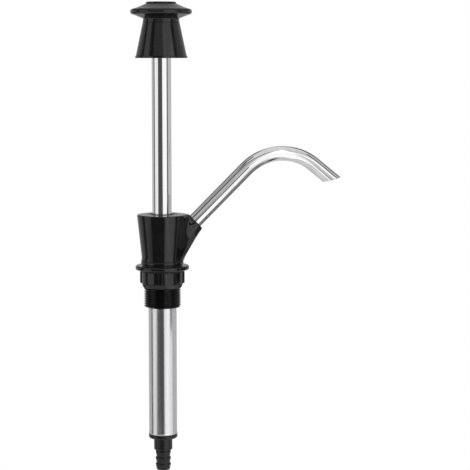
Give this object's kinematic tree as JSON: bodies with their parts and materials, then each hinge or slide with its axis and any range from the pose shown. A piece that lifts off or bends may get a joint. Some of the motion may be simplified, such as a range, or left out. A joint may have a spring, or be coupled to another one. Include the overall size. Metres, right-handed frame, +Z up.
{
  "type": "hand water pump",
  "caption": "Deck-mounted hand water pump: mushroom-knob plunger, tapered head with a bent chrome spout, flange, threaded shank with nut, metal barrel and a barbed hose tail.",
  "frame": {"origin": "on the plunger's axis, at the level of the flange's underside, where the pump sits on a worktop", "axes": "+Z up along the plunger towards the knob, +X towards the spout"},
  "size_m": [0.1918, 0.055, 0.4237],
  "materials": {
    "black_gloss": "moulded black plastic, glossy with a faint satin haze",
    "black_matte": "matte black plastic",
    "chrome": "bright chrome plate",
    "barrel_metal": "drawn tube, bright with soft reflections",
    "steel": "plain stainless steel",
    "brass": "turned brass",
    "rubber": "black seal rubber",
    "nylon": "natural nylon"
  },
  "bodies": {
    "head": {"pump_head": "black_gloss", "gland_cap": "black_gloss", "rod_wiper": "rubber", "rod_seal": "rubber", "rod_guide": "nylon", "spout_tube": "chrome", "deck_gasket": "rubber", "barrel_tube": "barrel_metal", "barrel_gasket": "rubber", "hose_tail": "black_gloss", "plug_seal": "rubber", "foot_cage": "nylon"},
    "cup": {"piston_cup": "rubber"},
    "plunger": {"knob_cap": "black_gloss", "knob_skirt": "black_gloss", "knob_screw": "steel", "knob_washer": "steel", "rod_plug": "nylon", "rod_tube": "chrome", "piston_body": "nylon", "piston_washer": "steel", "piston_nut": "brass"},
    "piston_valve": {"piston_ball": "steel"},
    "foot_valve": {"foot_ball": "steel"},
    "washer": {"slip_washer": "black_matte"},
    "nut": {"deck_nut": "black_gloss"}
  },
  "joints": [
    {"name": "plunger_slide", "type": "slide", "parent": "head", "child": "cup", "axis": [0, 0, -1], "range_m": [0, 0.1199]},
    {"name": "plunger_turn", "type": "hinge", "parent": "cup", "child": "plunger", "pos_m": [0, 0, 0.1], "axis": [0, 0, 1], "continuous": true},
    {"name": "piston_valve_lift", "type": "slide", "parent": "plunger", "child": "piston_valve", "axis": [0, 0, 1], "range_m": [0, 0.003]},
    {"name": "foot_valve_lift", "type": "slide", "parent": "head", "child": "foot_valve", "axis": [0, 0, 1], "range_m": [0, 0.0035]},
    {"name": "nut_travel", "type": "slide", "parent": "head", "child": "washer", "axis": [0, 0, -1], "range_m": [0, 0.01548]},
    {"name": "nut_turn", "type": "hinge", "parent": "washer", "child": "nut", "pos_m": [0, 0, -0.009], "axis": [0, 0, -1], "range_deg": [0, 2520]}
  ],
  "couplings": [
    {"joint": "nut_travel", "follows": "nut_turn", "m_per_rad": 0.00035153}
  ]
}
